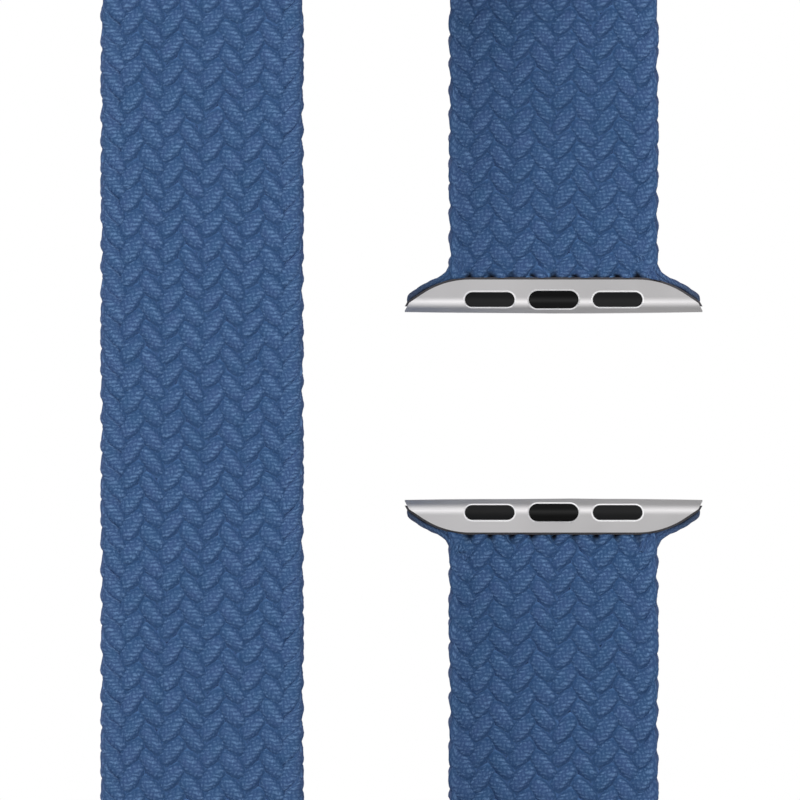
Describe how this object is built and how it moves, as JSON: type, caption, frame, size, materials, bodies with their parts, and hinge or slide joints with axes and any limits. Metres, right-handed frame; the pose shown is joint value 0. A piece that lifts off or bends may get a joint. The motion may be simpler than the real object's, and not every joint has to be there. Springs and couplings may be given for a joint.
{
  "type": "watch strap",
  "caption": "Stretch loop strap of flat blue braid that fans into slide-in metal lugs, each with a sprung latch between dark pads.",
  "frame": {"origin": "middle of the watch's place, halfway between the two lugs, in the mid-plane of the strap run that carries them", "axes": "+X along the lugs, +Z from the lower lug to the upper one, -Y the wrist side on which the latches show"},
  "size_m": [0.0627, 0.035, 0.1246],
  "materials": {
    "blue_braid": "interlaced yarn braid, matte",
    "white_elastic": "matte elastic thread",
    "lug_metal": "fine blasted satin with bright edges",
    "dark_elastomer": "matte",
    "latch_black": "glossy",
    "spring_steel": "plain",
    "grip_plastic": "moulded"
  },
  "bodies": {
    "strap": {"braid_loop": "blue_braid", "elastic_threads": "white_elastic"},
    "upper_lug": {"upper_shell": "lug_metal", "upper_rear_cover": "lug_metal", "upper_edge_seal": "dark_elastomer", "upper_left_pad": "dark_elastomer", "upper_right_pad": "dark_elastomer", "upper_latch_spring": "spring_steel", "upper_retainer_plate": "spring_steel", "upper_retainer_screws": "spring_steel", "upper_grip_bar": "grip_plastic", "upper_cover_screws": "lug_metal", "upper_braid_tail": "blue_braid"},
    "upper_latch": {"upper_latch": "latch_black"},
    "lower_lug": {"lower_shell": "lug_metal", "lower_rear_cover": "lug_metal", "lower_edge_seal": "dark_elastomer", "lower_left_pad": "dark_elastomer", "lower_right_pad": "dark_elastomer", "lower_latch_spring": "spring_steel", "lower_retainer_plate": "spring_steel", "lower_retainer_screws": "spring_steel", "lower_grip_bar": "grip_plastic", "lower_cover_screws": "lug_metal", "lower_braid_tail": "blue_braid"},
    "lower_latch": {"lower_latch": "latch_black"}
  },
  "joints": [
    {"name": "upper_strap_flex", "type": "hinge", "parent": "strap", "child": "upper_lug", "pos_m": [0, 0, 0.01825], "axis": [-1, 0, 0], "range_deg": [-30, 60], "stiffness_Nm_per_rad": 0.01},
    {"name": "upper_latch_press", "type": "slide", "parent": "upper_lug", "child": "upper_latch", "axis": [0, 1, 0], "range_m": [0, 0.00035], "stiffness_N_per_m": 1500, "deforming": ["upper_latch_spring"]},
    {"name": "lower_strap_flex", "type": "hinge", "parent": "strap", "child": "lower_lug", "pos_m": [0, 0, -0.01825], "axis": [1, 0, 0], "range_deg": [-30, 60], "stiffness_Nm_per_rad": 0.01},
    {"name": "lower_latch_press", "type": "slide", "parent": "lower_lug", "child": "lower_latch", "axis": [0, 1, 0], "range_m": [0, 0.00035], "stiffness_N_per_m": 1500, "deforming": ["lower_latch_spring"]}
  ]
}
